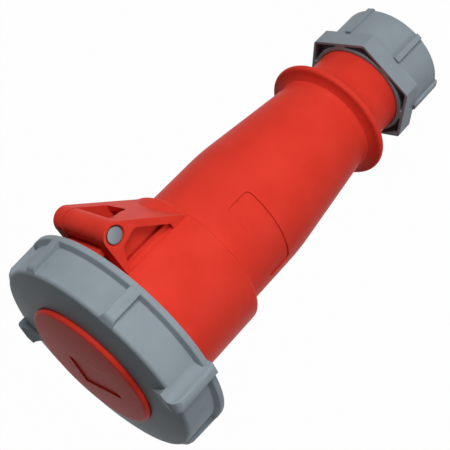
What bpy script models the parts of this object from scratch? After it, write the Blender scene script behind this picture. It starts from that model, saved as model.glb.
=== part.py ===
"""Heavy-duty industrial cable connector: a five-contact socket with a cable gland and a hinged lid.

It stands on the end of its cable gland with the lid at the top. Z is the connector's axis, and the
lid's hinge is on the +Y side with its pin along X. All sizes are in metres.
"""
import math

import bmesh
import bpy
from mathutils import Matrix, Vector

mm = 0.001

# Clearances between neighbouring pieces
seat_gap = 0.3 * mm
slide_gap = 0.35 * mm
hinge_gap = 0.4 * mm
wall = 3.0 * mm
segments = 44
seal_segments = 32
contact_segments = 16

# Gland nut
nut_length = 31.0 * mm
nut_hex_height = 10.0 * mm
nut_wall = 4.25 * mm
nut_hex_step = 0.15 * mm
nut_end_wall = 4.5 * mm
nut_end_lip = 8.55 * mm
nut_rib_width = 3.2 * mm
nut_rib_height = 1.6 * mm
nut_pocket_depth = 6.0 * mm
nut_skirt = 1.5 * mm
nut_sleeve_wall = 2.0 * mm
nut_web_width = 6.0 * mm

# Parts inside the gland
neck_radius = 25.0 * mm
neck_end_height = 14.0 * mm
neck_wall = 4.5 * mm
seal_length = 18.0 * mm
seal_thickness = 7.2 * mm
claw_thickness = 10.05 * mm
claw_slot_width = 2.4 * mm
claw_slots = 8

# Rear housing, from the neck up to the seam
neck_exposed = 24.2 * mm
neck_flare = 8.0 * mm
rim_height = 5.6 * mm
rim_radius = 35.0 * mm
grip_foot_radius = 27.5 * mm
grip_length = 64.4 * mm
barrel_radius = 34.75 * mm
barrel_length = 41.4 * mm
label_height = 15.0 * mm
label_low = 15.0 * mm
label_from_angle = -30.0
label_to_angle = 45.5
label_depth = 0.6 * mm

# Front housing, from the seam up to the mouth
body_step = 5.35 * mm
body_length = 61.3 * mm
body_edge_round = 1.6 * mm
lip_height = 3.0 * mm
spigot_length = 10.3 * mm
front_wall = 2.5 * mm
mouth_wall = 3.5 * mm
collar_step = 5.9 * mm
collar_length = 12.4 * mm
collar_flare = 4.8 * mm
collar_wall = 5.0 * mm
keyway_width = 9.0 * mm
keyway_depth = 2.2 * mm

# Bayonet between collar and ring
lug_height = 4.0 * mm
lug_below_mouth = 3.2 * mm
lug_reach = 5.3 * mm
lug_spread = 24.0
lug_clearance = 1.2 * mm
cam_overlap = 2.3 * mm
cam_height = 3.8 * mm
cam_gap = 0.5 * mm
bayonet_turn = 45.0

# Contact insert and contacts
shroud_space = 6.1 * mm
insert_recess = 1.0 * mm
insert_flange = 5.7 * mm
gasket_thickness = 1.4 * mm
chamber_clearance = 2.85 * mm
contact_wall = 1.4 * mm
contact_cover = 5.6 * mm
phase_bore_radius = 4.1 * mm
earth_bore_radius = 5.1 * mm
pilot_bore_radius = 3.1 * mm
contact_depth = 33.0 * mm
terminal_length = 19.6 * mm
terminal_wall = 2.9 * mm
pilot_terminal_wall = 1.9 * mm
wire_hole_depth = 14.0 * mm
screw_radius = 1.9 * mm
screw_head_radius = 2.8 * mm
screw_head_height = 1.6 * mm

# Lid
disc_radius = 35.66 * mm
disc_thickness = 6.1 * mm
disc_round = 2.4 * mm
lid_shell = 3.0 * mm
lid_flange = 2.5 * mm
lid_gasket_height = 2.1 * mm
hub_step = 0.9 * mm
lid_label_width = 28.0 * mm
lid_label_height = 18.0 * mm
lid_label_depth = 0.8 * mm
lid_label_offset = 6.0 * mm

# Bayonet ring
panel_step = 2.9 * mm
ring_wall = 3.1 * mm
ring_front_wall = 2.8 * mm
ring_height = 21.5 * mm
ring_flange = 3.0 * mm
ring_edge_round = 3.4 * mm
ring_inner_round = 2.0 * mm
ring_slope = 11.0 * mm
rib_width = 5.6 * mm
rib_angles = (96.5, 46.7, -51.0, -83.5, -133.3, 129.0)
wing_angles = (-1.0, 179.0)
wing_width = 9.0 * mm
wing_overhang = 3.1 * mm
wing_tip_height = 4.0 * mm
wing_chamfer = 1.4 * mm

# Hinge
hinge_offset = 14.8 * mm
hinge_below_mouth = 24.5 * mm
ear_outside = 19.3 * mm
ear_thickness = 7.0 * mm
boss_radius = 6.4 * mm
knuckle_radius = 6.2 * mm
pin_radius = 4.15 * mm
bracket_plate = 2.8 * mm
bracket_front = 4.4 * mm
bracket_floor = 0.6 * mm
pocket_depth = 5.0 * mm
strut_width = 3.6 * mm
arm_clearance = 0.5 * mm
arm_root = 6.0 * mm
notch_near = 7.0 * mm
notch_side = 10.5 * mm
notch_deep = 12.8 * mm
notch_flank = 10.0 * mm

# Radii that follow outwards from the barrel
body_radius = barrel_radius + body_step
spigot_radius = body_radius - front_wall - slide_gap
mouth_radius = body_radius - mouth_wall
insert_radius = mouth_radius - shroud_space
collar_radius = body_radius + collar_step
lid_flange_radius = collar_radius
lug_radius = collar_radius + lug_reach
cam_radius = lug_radius - cam_overlap
ring_inner_radius = lug_radius + lug_clearance
ring_panel_radius = ring_inner_radius + ring_wall
ring_radius = ring_panel_radius + panel_step
wing_reach = ring_radius + wing_overhang
hinge_reach = body_radius + hinge_offset
terminal_reach = earth_bore_radius + terminal_wall + seat_gap + screw_head_height
contact_circle_radius = barrel_radius - wall - chamber_clearance - terminal_reach
nut_bore = neck_radius + slide_gap
nut_radius = nut_bore + nut_wall
nut_entry_radius = nut_bore - nut_end_lip
claw_bore_radius = nut_bore - seat_gap - claw_thickness
neck_bore = neck_radius - neck_wall
seal_bore_radius = neck_bore - seat_gap - seal_thickness
nut_across_flats = 2 * (nut_radius + nut_hex_step)

# Heights that follow from the sizes above
nut_top = nut_length
rim_bottom = nut_length + neck_exposed
rim_top = rim_bottom + rim_height
shoulder = rim_top + grip_length
seam = shoulder + barrel_length
mouth = seam + body_length
lip_top = seam + lip_height
spigot_top = lip_top + seat_gap + spigot_length
gasket_bottom = spigot_top + seat_gap
insert_bottom = gasket_bottom + gasket_thickness + seat_gap
ledge = insert_bottom + insert_flange + seat_gap
insert_top = mouth - insert_recess
gasket_base = mouth + seat_gap
lid_base = gasket_base + lid_gasket_height + seat_gap
ring_inner_face = lid_base + lid_flange + seat_gap
ring_front = ring_inner_face + ring_front_wall
ring_rear = ring_front - ring_height
disc_base = ring_front + seat_gap
lid_top = disc_base + disc_thickness
hub_radius = disc_radius - hub_step
ring_opening = hub_radius + slide_gap
pin_height = mouth - hinge_below_mouth
knuckle_half = ear_outside - ear_thickness - hinge_gap
seal_top = neck_end_height - 2.0 * mm + seal_length
seal_bottom = seal_top - seal_length
claw_top = seal_bottom - seat_gap
claw_bottom = nut_end_wall + seat_gap

# The scene starts empty
for item in list(bpy.data.objects):
    bpy.data.objects.remove(item, do_unlink=True)

parts = bpy.data.collections.new("industrial_connector")
cutters = bpy.data.collections.new("cutters")
bpy.context.scene.collection.children.link(parts)
bpy.context.scene.collection.children.link(cutters)


def material(name, colour, roughness, metallic=0.0):
    """One Principled material, its colour given in linear values."""
    made = bpy.data.materials.new(name)
    made.use_nodes = True
    shader = made.node_tree.nodes["Principled BSDF"]
    shader.inputs["Base Color"].default_value = (*colour, 1.0)
    shader.inputs["Roughness"].default_value = roughness
    shader.inputs["Metallic"].default_value = metallic
    return made


def place(name, mesh, group, look=None):
    """Put a mesh in the scene as a named object."""
    made = bpy.data.objects.new(name, mesh)
    group.objects.link(made)
    if group is cutters:
        made.hide_render = True
        made.display_type = "WIRE"
    if look is not None:
        mesh.materials.append(look)
    return made


def turned(name, outline, group=cutters, look=None, steps=segments):
    """Turn a closed outline of (radius, height) points about Z. It runs down its outer side."""
    mesh = bpy.data.meshes.new(name)
    bm = bmesh.new()
    corners = [bm.verts.new((radius, 0.0, height)) for radius, height in outline]
    for index, corner in enumerate(corners):
        follower = corners[(index + 1) % len(corners)]
        if corner.co.x > 0.0 or follower.co.x > 0.0:
            bm.edges.new((corner, follower))
    bm.to_mesh(mesh)
    bm.free()
    made = place(name, mesh, group, look)
    screw = made.modifiers.new("Turn", "SCREW")
    screw.angle = math.tau
    screw.steps = steps
    screw.render_steps = steps
    screw.use_merge_vertices = True
    screw.merge_threshold = 0.00001
    weld = made.modifiers.new("Weld", "WELD")
    weld.merge_threshold = 0.00001
    return made


def cylinder(name, radius, bottom, top, centre=(0.0, 0.0), steps=24, group=cutters, look=None):
    """An upright cylinder from one height to another."""
    mesh = bpy.data.meshes.new(name)
    bm = bmesh.new()
    middle = Vector((centre[0], centre[1], (bottom + top) / 2))
    bmesh.ops.create_cone(bm, cap_ends=True, segments=steps, radius1=radius, radius2=radius,
                          depth=top - bottom, matrix=Matrix.Translation(middle))
    bm.to_mesh(mesh)
    bm.free()
    return place(name, mesh, group, look)


def cross_cylinder(name, radius, half, centre_y, height, steps=24, group=cutters, look=None):
    """A cylinder along X, centred on the YZ plane."""
    mesh = bpy.data.meshes.new(name)
    bm = bmesh.new()
    turn = Matrix.Translation((0.0, centre_y, height)) @ Matrix.Rotation(math.pi / 2, 4, "Y")
    bmesh.ops.create_cone(bm, cap_ends=True, segments=steps, radius1=radius, radius2=radius,
                          depth=2 * half, matrix=turn)
    bm.to_mesh(mesh)
    bm.free()
    return place(name, mesh, group, look)


def box(name, low, high, turn=0.0, group=cutters, look=None):
    """A box between two corners, then turned about Z by an angle in degrees."""
    mesh = bpy.data.meshes.new(name)
    bm = bmesh.new()
    bmesh.ops.create_cube(bm, size=1.0)
    size = Vector(high) - Vector(low)
    middle = (Vector(high) + Vector(low)) / 2
    bmesh.ops.scale(bm, vec=size, verts=bm.verts)
    bmesh.ops.translate(bm, vec=middle, verts=bm.verts)
    bmesh.ops.rotate(bm, cent=(0, 0, 0), matrix=Matrix.Rotation(math.radians(turn), 3, "Z"),
                     verts=bm.verts)
    bm.to_mesh(mesh)
    bm.free()
    return place(name, mesh, group, look)


def prism(name, outline, matrix, depth, group=cutters, look=None):
    """A flat outline in its own XY plane, thickened by depth along its Z and placed by a matrix."""
    mesh = bpy.data.meshes.new(name)
    bm = bmesh.new()
    corners = [bm.verts.new((across, along, 0.0)) for across, along in outline]
    face = bm.faces.new(corners)
    grown = bmesh.ops.extrude_face_region(bm, geom=[face])
    raised = [item for item in grown["geom"] if isinstance(item, bmesh.types.BMVert)]
    bmesh.ops.translate(bm, vec=(0.0, 0.0, depth), verts=raised)
    bmesh.ops.transform(bm, matrix=matrix, verts=bm.verts)
    bmesh.ops.recalc_face_normals(bm, faces=bm.faces)
    bm.to_mesh(mesh)
    bm.free()
    return place(name, mesh, group, look)


def side_prism(name, outline, low_x, high_x):
    """A side view outline of (y, height) points, thickened along X."""
    frame = Matrix(((0, 0, 1, low_x), (1, 0, 0, 0), (0, 1, 0, 0), (0, 0, 0, 1)))
    return prism(name, outline, frame, high_x - low_x)


def radial_prism(name, outline, width, turn):
    """A side view outline of (radius, height) points, as a rib of one width at an angle."""
    frame = Matrix(((1, 0, 0, 0), (0, 0, -1, width / 2), (0, 1, 0, 0), (0, 0, 0, 1)))
    return prism(name, outline, Matrix.Rotation(math.radians(turn), 4, "Z") @ frame, width)


def combine(target, tool, operation):
    """Add a Boolean modifier to the target and return the target."""
    step = target.modifiers.new(tool.name, "BOOLEAN")
    step.operation = operation
    step.solver = "EXACT"
    step.object = tool
    return target


def join(target, tool):
    return combine(target, tool, "UNION")


def cut(target, tool):
    return combine(target, tool, "DIFFERENCE")


def arc(centre, radius, start, end, count):
    """Points on an arc in a plane, with both ends."""
    points = []
    for index in range(count + 1):
        angle = math.radians(start + (end - start) * index / count)
        points.append((centre[0] + radius * math.cos(angle), centre[1] + radius * math.sin(angle)))
    return points


def sector(name, inner, outer, bottom, top, middle, spread, steps=6):
    """A curved block between two radii, about a middle angle."""
    ahead = arc((0, 0), outer, middle - spread / 2, middle + spread / 2, steps)
    back = arc((0, 0), inner, middle + spread / 2, middle - spread / 2, steps)
    return prism(name, ahead + back, Matrix.Translation((0, 0, bottom)), top - bottom)


def empty(name, location, parent=None):
    made = bpy.data.objects.new(name, None)
    made.location = location
    parts.objects.link(made)
    if parent is not None:
        made.parent = parent
        made.matrix_parent_inverse = Matrix.Translation(-Vector(parent_places[parent.name]))
    parent_places[name] = location
    return made


parent_places = {}


def carry(piece, carrier):
    """Parent a piece to an empty and keep the place it was modelled in."""
    piece.parent = carrier
    piece.matrix_parent_inverse = Matrix.Translation(-Vector(parent_places[carrier.name]))
    return piece


red = material("red_polyamide", (0.60, 0.042, 0.022), 0.42)
grey = material("grey_polyamide", (0.24, 0.29, 0.32), 0.45)
black = material("black_rubber", (0.012, 0.012, 0.013), 0.7)
carrier_grey = material("insert_polyamide", (0.035, 0.037, 0.04), 0.5)
brass = material("nickelled_brass", (0.62, 0.56, 0.42), 0.3, 1.0)
steel = material("zinc_plated_steel", (0.55, 0.56, 0.58), 0.35, 1.0)

housing = empty("housing", (0.0, 0.0, 0.0))
lid_pivot = empty("lid_pivot", (0.0, hinge_reach, pin_height), housing)
ring_pivot = empty("ring_pivot", (0.0, 0.0, ring_rear), lid_pivot)
gland = empty("gland", (0.0, 0.0, claw_bottom), housing)


# Rear housing: neck, rim, tapered grip and barrel, hollow for the conductors
seal_seat = seal_top + seat_gap
outline = [
    (spigot_radius, spigot_top),
    (spigot_radius, lip_top + seat_gap),
    (barrel_radius, lip_top + seat_gap),
    (barrel_radius, shoulder),
    (grip_foot_radius, rim_top),
    (grip_foot_radius + 1.2 * mm, rim_top - 1.2 * mm),
    (rim_radius - 1.6 * mm, rim_top - 1.5 * mm),
    (rim_radius - 0.4 * mm, rim_top - 2.0 * mm),
    (rim_radius, rim_top - 2.9 * mm),
    (rim_radius - 0.4 * mm, rim_top - 3.9 * mm),
    (rim_radius - 1.6 * mm, rim_top - 4.6 * mm),
]
flare = rim_radius - 1.6 * mm - neck_radius
for index in range(1, 6):
    angle = math.radians(90.0 * index / 5)
    outline.append((neck_radius + flare * (1 - math.sin(angle)),
                    rim_top - 4.6 * mm - (neck_flare + 1.0 * mm - 4.6 * mm + rim_height)
                    * (1 - math.cos(angle))))
outline += [
    (neck_radius, neck_end_height + 1.0 * mm),
    (neck_radius - 1.0 * mm, neck_end_height),
    (neck_bore, neck_end_height),
    (neck_bore, seal_seat),
    (neck_bore - 1.5 * mm, seal_seat),
    (neck_bore - 1.5 * mm, rim_bottom),
    (grip_foot_radius - wall, rim_top + wall),
    (barrel_radius - wall, shoulder),
    (barrel_radius - wall, spigot_top),
]
rear_housing = turned("rear_housing", outline, parts, red)
label = sector("label_recess", barrel_radius - label_depth - 2 * mm, barrel_radius + 5 * mm,
               seam - label_low - label_height, seam - label_low,
               (label_from_angle + label_to_angle) / 2, label_to_angle - label_from_angle, 12)
label_core = cylinder("label_core", barrel_radius - label_depth, seam - label_low - label_height - mm,
                      seam - label_low + mm, steps=segments)
cut(label, label_core)
cut(rear_housing, label)
carry(rear_housing, housing)

# Front housing: body, collar with two bayonet lugs, and the hinge bracket
collar_base = mouth - collar_length
outline = [
    (0.0, mouth),
    (collar_radius - 1.0 * mm, mouth),
    (collar_radius, mouth - 1.0 * mm),
    (collar_radius, collar_base),
    (body_radius, collar_base - collar_flare),
    (body_radius, seam + body_edge_round),
    (body_radius - 0.3 * body_edge_round, seam + 0.3 * body_edge_round),
    (body_radius - body_edge_round, seam),
    (0.0, seam),
]
front_housing = turned("front_housing", outline, parts, red)

tip_sink = 0.3 * mm
tip = (math.sqrt(body_radius ** 2 - ear_outside ** 2) - tip_sink, seam + tip_sink)
ear_centre = (hinge_reach, pin_height)


def tangent_angle(point, centre, radius, side):
    """Angle, seen from the centre, at which a line from the point touches the circle."""
    across, up = point[0] - centre[0], point[1] - centre[1]
    away = math.hypot(across, up)
    return math.degrees(math.atan2(up, across) + side * math.acos(radius / away))


bracket_root = tip[0] - 3.0 * mm
foot = (bracket_root, pin_height + bracket_front)
low_touch = tangent_angle(tip, ear_centre, boss_radius, 1)
high_touch = tangent_angle(foot, ear_centre, boss_radius, -1)
if high_touch < low_touch:
    high_touch += 360.0
outline = arc(ear_centre, boss_radius, low_touch, high_touch, 16)
outline += [foot, (bracket_root, seam + body_edge_round), tip]
bracket = side_prism("bracket", outline, -ear_outside, ear_outside)

# The space between the ears takes the knuckle and runs back under the bracket's sloping plate
touch = Vector(arc(ear_centre, boss_radius, low_touch, low_touch, 1)[0])
slope = (Vector(tip) - touch).normalized()
inward = Vector((slope[1], -slope[0]))
if inward[0] > 0:
    inward = -inward
space_floor = body_radius + bracket_floor
behind_knuckle = pin_height - knuckle_radius - 1.2 * mm
under = touch + inward * bracket_plate


def under_plate(height):
    """Distance from the axis to the plate's underside at a height."""
    share = (height - under[1]) / slope[1]
    return under[0] + slope[0] * share


def over_plate(height):
    share = (height - touch[1]) / slope[1]
    return touch[0] + slope[0] * share


space_end = under[1] + slope[1] * (space_floor - under[0]) / slope[0]
inner_half = ear_outside - ear_thickness
outline = [
    (space_floor, foot[1] + 3.0 * mm),
    (hinge_reach + 2 * boss_radius, foot[1] + 3.0 * mm),
    (hinge_reach + 2 * boss_radius, behind_knuckle),
    (under_plate(behind_knuckle), behind_knuckle),
    (space_floor, space_end),
]
space = side_prism("bracket_space", outline, -inner_half, inner_half)
cut(bracket, space)

# The plate is cut away behind the knuckle, further back on one side than on the other
notch_outline = [
    (-inner_half, behind_knuckle + 1.0 * mm),
    (-inner_half, behind_knuckle - notch_side),
    (-0.1 * notch_flank, behind_knuckle - notch_deep),
    (0.35 * notch_flank, behind_knuckle - notch_near),
    (notch_flank, behind_knuckle - 1.0 * mm),
    (notch_flank, behind_knuckle + 1.0 * mm),
]
notch_frame = Matrix(((1, 0, 0, 0), (0, 0, 1, space_floor + 0.5 * mm), (0, 1, 0, 0), (0, 0, 0, 1)))
notch = prism("plate_notch", notch_outline, notch_frame, hinge_offset + 2 * boss_radius)
cut(bracket, notch)

# Triangular pockets in the cheeks leave a web between the struts
pocket_front = foot[1] - strut_width - 1.4 * mm
pocket_touch = touch + inward * strut_width
pocket_floor = body_radius - 1.6 * mm


def pocket_line(height):
    share = (height - pocket_touch[1]) / slope[1]
    return pocket_touch[0] + slope[0] * share


pocket_end = pocket_touch[1] + slope[1] * (pocket_floor - pocket_touch[0]) / slope[0]
boss_clear = boss_radius + 0.6 * mm
pocket_top_y = hinge_reach - boss_clear
outline = [
    (pocket_floor, pocket_front),
    (pocket_top_y, pocket_front),
    (pocket_top_y + 0.6 * mm, pin_height - 3.2 * mm),
    (pocket_line(pin_height - 9.6 * mm), pin_height - 9.6 * mm),
    (pocket_floor, pocket_end),
]
for side in (-1, 1):
    start = side * ear_outside if side < 0 else ear_outside - pocket_depth
    pocket = side_prism("cheek_pocket", outline, start - (mm if side < 0 else 0),
                        start + pocket_depth + (0 if side < 0 else mm))
    cut(bracket, pocket)

ear_bore = cross_cylinder("ear_bore", pin_radius + slide_gap, ear_outside + mm, hinge_reach,
                          pin_height)
join(front_housing, bracket)

for turn in (0.0, 180.0):
    lug = sector("bayonet_lug", collar_radius - 1.5 * mm, lug_radius,
                 mouth - lug_below_mouth - lug_height, mouth - lug_below_mouth, turn, lug_spread)
    join(front_housing, lug)

collar_bore = collar_radius - collar_wall
outline = [
    (collar_bore, mouth + mm),
    (collar_bore, collar_base - collar_flare + 1.5 * mm),
    (mouth_radius, collar_base - collar_flare - 2.5 * mm),
    (mouth_radius, ledge),
    (spigot_radius + slide_gap, ledge),
    (spigot_radius + slide_gap, lip_top),
    (barrel_radius + slide_gap, lip_top),
    (barrel_radius + slide_gap, seam - mm),
    (0.0, seam - mm),
    (0.0, mouth + mm),
]
cut(front_housing, turned("front_bore", outline))
keyway = box("keyway", (-keyway_width / 2, -mouth_radius - keyway_depth, ledge + 2 * mm),
             (keyway_width / 2, -mouth_radius + 2 * mm, mouth + mm))
cut(front_housing, keyway)
cut(front_housing, ear_bore)
carry(front_housing, housing)

# Gasket between the insert and the rear housing
housing_gasket = turned("housing_gasket", [
    (spigot_radius, gasket_bottom + gasket_thickness),
    (spigot_radius, gasket_bottom),
    (barrel_radius - wall, gasket_bottom),
    (barrel_radius - wall, gasket_bottom + gasket_thickness),
], parts, black, seal_segments)
carry(housing_gasket, housing)

# Contact insert: a face plate, the carrier behind it and the retainer that clamps both
face_top = insert_top
face_bottom = insert_top - contact_cover
carrier_top = face_bottom - seat_gap
carrier_bottom = insert_bottom + insert_flange + seat_gap
contact_face = turned("contact_face", [
    (0.0, face_top),
    (insert_radius - 0.8 * mm, face_top),
    (insert_radius, face_top - 0.8 * mm),
    (insert_radius, face_bottom),
    (0.0, face_bottom),
], parts, carrier_grey)
insert = cylinder("contact_insert", insert_radius, carrier_bottom, carrier_top, steps=segments,
                  group=parts, look=carrier_grey)
retainer = cylinder("contact_retainer", spigot_radius, insert_bottom, insert_bottom + insert_flange,
                    steps=segments, group=parts, look=carrier_grey)
for piece in (contact_face, insert, retainer):
    carry(piece, housing)

contacts = [
    ("l1", -18.0, phase_bore_radius, True),
    ("l2", 54.0, phase_bore_radius, True),
    ("l3", 126.0, phase_bore_radius, True),
    ("neutral", 198.0, phase_bore_radius, True),
    ("earth", 270.0, earth_bore_radius, True),
    ("pilot", 0.0, pilot_bore_radius, False),
]
terminal_top = insert_bottom - seat_gap
terminal_bottom = terminal_top - terminal_length
screw_height = terminal_bottom + 7.0 * mm
for name, angle, bore, outer in contacts:
    reach = contact_circle_radius if outer else 0.0
    centre = (reach * math.cos(math.radians(angle)), reach * math.sin(math.radians(angle)))
    sleeve_radius = bore + contact_wall
    sleeve_top = face_bottom - seat_gap
    cut(contact_face, cylinder("face_hole", bore + seat_gap, face_bottom - mm, face_top + mm, centre,
                               contact_segments))
    cut(insert, cylinder("carrier_hole", sleeve_radius + seat_gap, carrier_bottom - mm, carrier_top + mm,
                         centre, contact_segments))
    cut(retainer, cylinder("retainer_hole", sleeve_radius + seat_gap, insert_bottom - mm,
                           insert_bottom + insert_flange + mm, centre, contact_segments))
    block_radius = bore + (terminal_wall if outer else pilot_terminal_wall)
    wire_hole = bore - 0.3 * mm
    sleeve = turned("contact_" + name, [
        (sleeve_radius, sleeve_top),
        (sleeve_radius, terminal_top),
        (block_radius, terminal_top),
        (block_radius, terminal_bottom),
        (wire_hole, terminal_bottom),
        (wire_hole, terminal_bottom + wire_hole_depth),
        (0.0, terminal_bottom + wire_hole_depth),
        (0.0, sleeve_top - contact_depth),
        (bore, sleeve_top - contact_depth),
        (bore, sleeve_top),
    ], parts, brass, contact_segments)
    sleeve.location = (centre[0], centre[1], 0.0)
    sleeve.rotation_euler = (0.0, 0.0, math.radians(angle + 180.0 / contact_segments))
    sleeve.parent = housing
    if not outer:
        continue
    turn = Matrix.Rotation(math.radians(angle), 4, "Z")
    frame = turn @ Matrix.Translation((reach, 0, screw_height)) @ Matrix.Rotation(math.pi / 2, 4, "Y")
    hole_mesh = bpy.data.meshes.new("screw_hole")
    bm = bmesh.new()
    bmesh.ops.create_cone(bm, cap_ends=True, segments=16, radius1=screw_radius + seat_gap,
                          radius2=screw_radius + seat_gap, depth=block_radius + 2 * mm,
                          matrix=frame @ Matrix.Translation((0, 0, (block_radius + 2 * mm) / 2)))
    bm.to_mesh(hole_mesh)
    bm.free()
    cut(sleeve, place("screw_hole", hole_mesh, cutters))
    screw = turned("terminal_screw_" + name, [
        (0.0, block_radius + seat_gap + screw_head_height),
        (screw_head_radius, block_radius + seat_gap + screw_head_height),
        (screw_head_radius, block_radius + seat_gap),
        (screw_radius, block_radius + seat_gap),
        (screw_radius, wire_hole - 1.0 * mm),
        (0.0, wire_hole - 1.0 * mm),
    ], parts, steel, 16)
    slot = box("screw_slot", (-screw_head_radius - mm, -0.4 * mm,
                              block_radius + seat_gap + screw_head_height - 0.8 * mm),
               (screw_head_radius + mm, 0.4 * mm, block_radius + seat_gap + screw_head_height + mm))
    slot.matrix_world = frame
    cut(screw, slot)
    screw.matrix_world = frame
    screw.parent = housing

# Lid: disc, flange, arm and hinge knuckle
rim = arc((disc_radius - disc_round, lid_top - disc_round), disc_round, 90, 0, 4)
outline = [(0.0, lid_top)] + rim + [
    (disc_radius, disc_base),
    (hub_radius, disc_base),
    (hub_radius, ring_inner_face - seat_gap),
    (lid_flange_radius, ring_inner_face - seat_gap),
    (lid_flange_radius, lid_base),
    (hub_radius - lid_shell, lid_base),
    (hub_radius - lid_shell, lid_top - lid_shell),
    (0.0, lid_top - lid_shell),
]
lid = turned("lid", outline, parts, red)
arm_outer = math.sqrt((ring_inner_radius - hinge_gap) ** 2 - knuckle_half ** 2) - 0.2 * mm
arm_inner = collar_radius + arm_clearance
arm_neck = 0.6 * knuckle_radius
outline = [
    (lid_flange_radius - arm_root, lid_base + lid_flange),
    (arm_outer - ring_inner_round - seat_gap, lid_base + lid_flange),
    (arm_outer, lid_base + lid_flange - ring_inner_round - seat_gap),
    (arm_outer, pin_height + arm_neck),
    (hinge_reach, pin_height + arm_neck),
    (hinge_reach, pin_height - arm_neck),
    (arm_outer, pin_height - arm_neck),
    (arm_inner, pin_height),
    (arm_inner, lid_base),
    (lid_flange_radius - arm_root, lid_base),
]
join(lid, side_prism("lid_arm", outline, -knuckle_half, knuckle_half))
join(lid, cross_cylinder("lid_knuckle", knuckle_radius, knuckle_half, hinge_reach, pin_height))
cut(lid, cross_cylinder("knuckle_bore", pin_radius + slide_gap, knuckle_half + mm, hinge_reach,
                        pin_height))
label_low_y = -lid_label_offset - lid_label_height / 2
cut(lid, box("lid_label", (-lid_label_width / 2, label_low_y, lid_top - lid_label_depth),
             (lid_label_width / 2, label_low_y + lid_label_height, lid_top + mm)))
carry(lid, lid_pivot)

lid_gasket = turned("lid_gasket", [
    (collar_radius - 0.5 * mm, gasket_base + lid_gasket_height),
    (collar_radius - 0.5 * mm, gasket_base),
    (collar_bore + 0.5 * mm, gasket_base),
    (collar_bore + 0.5 * mm, gasket_base + lid_gasket_height),
], parts, black, seal_segments)
carry(lid_gasket, lid_pivot)

hinge_pin = cross_cylinder("hinge_pin", pin_radius, ear_outside - 0.3 * mm, hinge_reach, pin_height,
                           group=parts, look=steel)
carry(hinge_pin, housing)

# Bayonet ring: ribs, two wings and two cams inside
edge = arc((ring_panel_radius - ring_edge_round, ring_front - 1.4 * mm - ring_edge_round),
           ring_edge_round, 80, 0, 4)
outline = [(ring_opening, ring_front), (ring_panel_radius - ring_slope, ring_front)] + edge + [
    (ring_panel_radius, ring_rear + ring_flange),
    (ring_radius, ring_rear + ring_flange),
    (ring_radius, ring_rear + 0.6 * mm),
    (ring_radius - 0.6 * mm, ring_rear),
    (ring_inner_radius, ring_rear),
    (ring_inner_radius, ring_inner_face - ring_inner_round),
    (ring_inner_radius - ring_inner_round, ring_inner_face),
    (ring_opening, ring_inner_face),
]
ring = turned("bayonet_ring", outline, parts, grey, 60)
root = ring_inner_radius + 1.0 * mm
for turn in rib_angles:
    outline = [
        (root, ring_rear + 1.0 * mm),
        (ring_radius - 0.1 * mm, ring_rear + 1.0 * mm),
        (ring_radius - 0.1 * mm, ring_front - 7.0 * mm),
        (ring_panel_radius + 0.6 * mm, ring_front - 2.8 * mm),
        (ring_panel_radius - 2.0 * mm, ring_front - 1.2 * mm),
        (root, ring_front - 1.6 * mm),
    ]
    join(ring, radial_prism("ring_rib", outline, rib_width, turn))
for turn in wing_angles:
    plan = [
        (ring_opening + 1.0 * mm, -0.5 * mm),
        (ring_panel_radius - 1.0 * mm, -wing_width / 2),
        (wing_reach - wing_chamfer, -wing_width / 2),
        (wing_reach, wing_chamfer - wing_width / 2),
        (wing_reach, wing_width / 2 - wing_chamfer),
        (wing_reach - wing_chamfer, wing_width / 2),
        (ring_panel_radius - 1.0 * mm, wing_width / 2),
        (ring_opening + 1.0 * mm, 0.5 * mm),
    ]
    around = Matrix.Rotation(math.radians(turn), 4, "Z") @ Matrix.Translation((0, 0, ring_rear - 2 * mm))
    wing = prism("ring_wing", plan, around, ring_height + wing_tip_height + 4 * mm)
    outline = [
        (root, ring_rear + 0.5 * mm),
        (ring_radius, ring_rear - 0.6 * mm),
        (wing_reach - 1.0 * mm, ring_rear - 0.6 * mm),
        (wing_reach, ring_rear + 0.6 * mm),
        (wing_reach - 0.2 * mm, ring_front + wing_tip_height - 4.2 * mm),
        (wing_reach - 1.8 * mm, ring_front + wing_tip_height - 1.2 * mm),
        (ring_radius - 1.8 * mm, ring_front + wing_tip_height),
        (ring_opening + 1.5 * mm, ring_front + 0.2 * mm),
        (ring_opening + 1.5 * mm, ring_front - 1.0 * mm),
        (root, ring_front - 1.4 * mm),
    ]
    profile = radial_prism("wing_profile", outline, wing_width + 2 * mm, turn)
    combine(wing, profile, "INTERSECT")
    join(ring, wing)
cam_top = mouth - lug_below_mouth - lug_height - cam_gap
for turn in (0.0, 180.0):
    cam = sector("ring_cam", cam_radius, ring_inner_radius + 1.0 * mm, cam_top - cam_height, cam_top,
                 turn + bayonet_turn, lug_spread)
    join(ring, cam)
carry(ring, ring_pivot)

# Gland: seal, claw ring and nut
seal_outer = neck_bore - seat_gap
gland_seal = turned("gland_seal", [
    (seal_outer, seal_top),
    (seal_outer, seal_bottom),
    (seal_bore_radius + 1.5 * mm, seal_bottom),
    (seal_bore_radius, seal_bottom + 3.0 * mm),
    (seal_bore_radius, seal_top - 3.0 * mm),
    (seal_bore_radius + 1.5 * mm, seal_top),
], parts, black, seal_segments)
carry(gland_seal, housing)

claw = turned("gland_claw", [
    (nut_bore - seat_gap, claw_top),
    (nut_bore - seat_gap, claw_bottom),
    (claw_bore_radius, claw_bottom),
    (claw_bore_radius, claw_bottom + 2.0 * mm),
    (claw_bore_radius + 3.4 * mm, claw_top),
], parts, grey)
for index in range(claw_slots):
    turn = 360.0 * (index + 0.5) / claw_slots
    slot = box("claw_slot", (claw_bore_radius - 2 * mm, -claw_slot_width / 2, claw_bottom - mm),
               (claw_bore_radius + 5.0 * mm, claw_slot_width / 2, claw_top + mm), turn)
    cut(claw, slot)
carry(claw, gland)

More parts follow.
